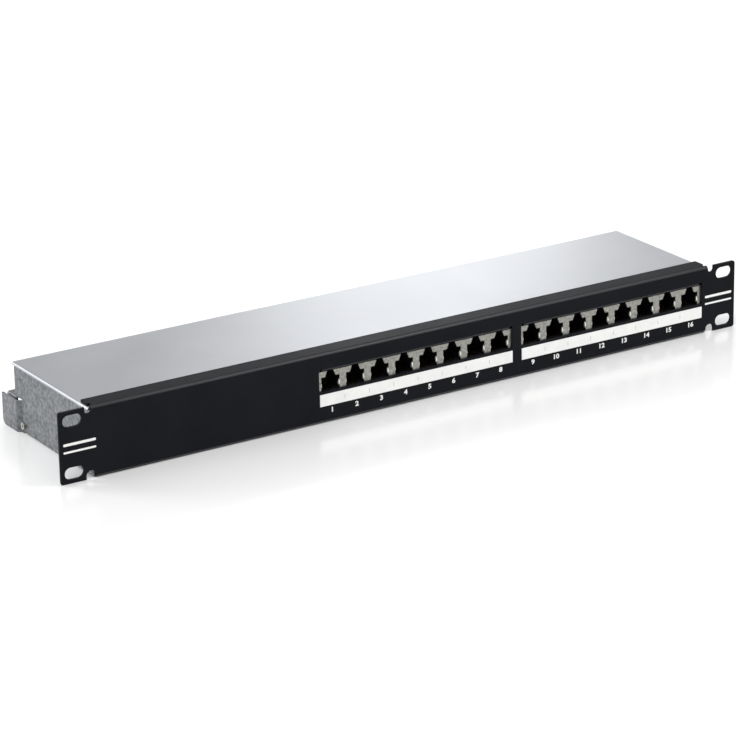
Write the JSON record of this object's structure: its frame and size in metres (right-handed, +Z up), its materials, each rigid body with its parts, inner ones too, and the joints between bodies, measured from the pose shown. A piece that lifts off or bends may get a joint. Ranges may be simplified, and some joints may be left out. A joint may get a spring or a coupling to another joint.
{
  "type": "rack patch panel",
  "caption": "One-unit rack patch panel: a bent black front with two banks of shielded modular jacks, a galvanised tray, a slide-off cover and a rear cable tie bar.",
  "frame": {"origin": "centre of the rack mounting plane: the rear face of the ears, midway between the four slots", "axes": "+X to the right seen from the front, along the long side; +Y rearwards into the rack; +Z up"},
  "size_m": [0.4826, 0.111, 0.044],
  "materials": {
    "black_panel": "fine textured powder coat",
    "galvanised_tray": "hot-dip galvanised with spangle",
    "zinc_cover": "smooth zinc-coated sheet",
    "nickel_hardware": "nickel plated",
    "tin_plate": "bright tin-plated sheet",
    "white_label": "matt write-on film",
    "board_laminate": "solder mask over glass-epoxy",
    "brass_standoff": "turned",
    "tinned_lead": "tinned",
    "white_block": "moulded",
    "bronze_contact": "stamped phosphor bronze",
    "black_housing": "moulded glass-filled polyester",
    "gold_spring": "gold-plated wire"
  },
  "bodies": {
    "case": {"front_panel": "black_panel", "bottom_tray": "galvanised_tray", "cable_tie_bar": "galvanised_tray", "side_screws": "nickel_hardware", "panel_studs": "nickel_hardware", "panel_nuts": "nickel_hardware", "board_screws": "nickel_hardware", "ground_stud": "nickel_hardware", "ground_nut": "nickel_hardware", "jack_face_plate_left": "tin_plate", "jack_face_plate_right": "tin_plate", "jack_shields_left": "tin_plate", "jack_shields_right": "tin_plate", "label_strip_left": "white_label", "label_strip_right": "white_label", "circuit_board_left": "board_laminate", "circuit_board_right": "board_laminate", "board_standoffs": "brass_standoff", "jack_leads_left": "tinned_lead", "jack_leads_right": "tinned_lead", "idc_blocks_left": "white_block", "idc_blocks_right": "white_block", "idc_contacts_left": "bronze_contact", "idc_contacts_right": "bronze_contact", "jack_housing_01": "black_housing", "jack_housing_02": "black_housing", "jack_housing_03": "black_housing", "jack_housing_04": "black_housing", "jack_housing_05": "black_housing", "jack_housing_06": "black_housing", "jack_housing_07": "black_housing", "jack_housing_08": "black_housing", "jack_housing_09": "black_housing", "jack_housing_10": "black_housing", "jack_housing_11": "black_housing", "jack_housing_12": "black_housing", "jack_housing_13": "black_housing", "jack_housing_14": "black_housing", "jack_housing_15": "black_housing", "jack_housing_16": "black_housing"},
    "cover": {"top_cover": "zinc_cover"},
    "thumb_screw_left": {"cover_screw_left": "nickel_hardware"},
    "thumb_screw_right": {"cover_screw_right": "nickel_hardware"},
    "contacts_01": {"contact_springs_01": "gold_spring"},
    "contacts_02": {"contact_springs_02": "gold_spring"},
    "contacts_03": {"contact_springs_03": "gold_spring"},
    "contacts_04": {"contact_springs_04": "gold_spring"},
    "contacts_05": {"contact_springs_05": "gold_spring"},
    "contacts_06": {"contact_springs_06": "gold_spring"},
    "contacts_07": {"contact_springs_07": "gold_spring"},
    "contacts_08": {"contact_springs_08": "gold_spring"},
    "contacts_09": {"contact_springs_09": "gold_spring"},
    "contacts_10": {"contact_springs_10": "gold_spring"},
    "contacts_11": {"contact_springs_11": "gold_spring"},
    "contacts_12": {"contact_springs_12": "gold_spring"},
    "contacts_13": {"contact_springs_13": "gold_spring"},
    "contacts_14": {"contact_springs_14": "gold_spring"},
    "contacts_15": {"contact_springs_15": "gold_spring"},
    "contacts_16": {"contact_springs_16": "gold_spring"}
  },
  "joints": [
    {"name": "cover_slide", "type": "slide", "parent": "case", "child": "cover", "axis": [0, 1, 0], "range_m": [0, 0.1]},
    {"name": "thumb_screw_left_turn", "type": "hinge", "parent": "cover", "child": "thumb_screw_left", "pos_m": [-0.208, 0.0968, 0.013], "axis": [0, 1, 0], "continuous": true},
    {"name": "thumb_screw_right_turn", "type": "hinge", "parent": "cover", "child": "thumb_screw_right", "pos_m": [0.208, 0.0968, 0.013], "axis": [0, 1, 0], "continuous": true},
    {"name": "contact_press_01", "type": "hinge", "parent": "case", "child": "contacts_01", "pos_m": [-0.05974, 0.0045, -0.0029], "axis": [1, 0, 0], "range_deg": [-12, 0], "stiffness_Nm_per_rad": 0.5},
    {"name": "contact_press_02", "type": "hinge", "parent": "case", "child": "contacts_02", "pos_m": [-0.04243, 0.0045, -0.0029], "axis": [1, 0, 0], "range_deg": [-12, 0], "stiffness_Nm_per_rad": 0.5},
    {"name": "contact_press_03", "type": "hinge", "parent": "case", "child": "contacts_03", "pos_m": [-0.02512, 0.0045, -0.0029], "axis": [1, 0, 0], "range_deg": [-12, 0], "stiffness_Nm_per_rad": 0.5},
    {"name": "contact_press_04", "type": "hinge", "parent": "case", "child": "contacts_04", "pos_m": [-0.00781, 0.0045, -0.0029], "axis": [1, 0, 0], "range_deg": [-12, 0], "stiffness_Nm_per_rad": 0.5},
    {"name": "contact_press_05", "type": "hinge", "parent": "case", "child": "contacts_05", "pos_m": [0.0095, 0.0045, -0.0029], "axis": [1, 0, 0], "range_deg": [-12, 0], "stiffness_Nm_per_rad": 0.5},
    {"name": "contact_press_06", "type": "hinge", "parent": "case", "child": "contacts_06", "pos_m": [0.02681, 0.0045, -0.0029], "axis": [1, 0, 0], "range_deg": [-12, 0], "stiffness_Nm_per_rad": 0.5},
    {"name": "contact_press_07", "type": "hinge", "parent": "case", "child": "contacts_07", "pos_m": [0.04412, 0.0045, -0.0029], "axis": [1, 0, 0], "range_deg": [-12, 0], "stiffness_Nm_per_rad": 0.5},
    {"name": "contact_press_08", "type": "hinge", "parent": "case", "child": "contacts_08", "pos_m": [0.06143, 0.0045, -0.0029], "axis": [1, 0, 0], "range_deg": [-12, 0], "stiffness_Nm_per_rad": 0.5},
    {"name": "contact_press_09", "type": "hinge", "parent": "case", "child": "contacts_09", "pos_m": [0.08543, 0.0045, -0.0029], "axis": [1, 0, 0], "range_deg": [-12, 0], "stiffness_Nm_per_rad": 0.5},
    {"name": "contact_press_10", "type": "hinge", "parent": "case", "child": "contacts_10", "pos_m": [0.10274, 0.0045, -0.0029], "axis": [1, 0, 0], "range_deg": [-12, 0], "stiffness_Nm_per_rad": 0.5},
    {"name": "contact_press_11", "type": "hinge", "parent": "case", "child": "contacts_11", "pos_m": [0.12005, 0.0045, -0.0029], "axis": [1, 0, 0], "range_deg": [-12, 0], "stiffness_Nm_per_rad": 0.5},
    {"name": "contact_press_12", "type": "hinge", "parent": "case", "child": "contacts_12", "pos_m": [0.13736, 0.0045, -0.0029], "axis": [1, 0, 0], "range_deg": [-12, 0], "stiffness_Nm_per_rad": 0.5},
    {"name": "contact_press_13", "type": "hinge", "parent": "case", "child": "contacts_13", "pos_m": [0.15467, 0.0045, -0.0029], "axis": [1, 0, 0], "range_deg": [-12, 0], "stiffness_Nm_per_rad": 0.5},
    {"name": "contact_press_14", "type": "hinge", "parent": "case", "child": "contacts_14", "pos_m": [0.17198, 0.0045, -0.0029], "axis": [1, 0, 0], "range_deg": [-12, 0], "stiffness_Nm_per_rad": 0.5},
    {"name": "contact_press_15", "type": "hinge", "parent": "case", "child": "contacts_15", "pos_m": [0.18929, 0.0045, -0.0029], "axis": [1, 0, 0], "range_deg": [-12, 0], "stiffness_Nm_per_rad": 0.5},
    {"name": "contact_press_16", "type": "hinge", "parent": "case", "child": "contacts_16", "pos_m": [0.2066, 0.0045, -0.0029], "axis": [1, 0, 0], "range_deg": [-12, 0], "stiffness_Nm_per_rad": 0.5}
  ]
}
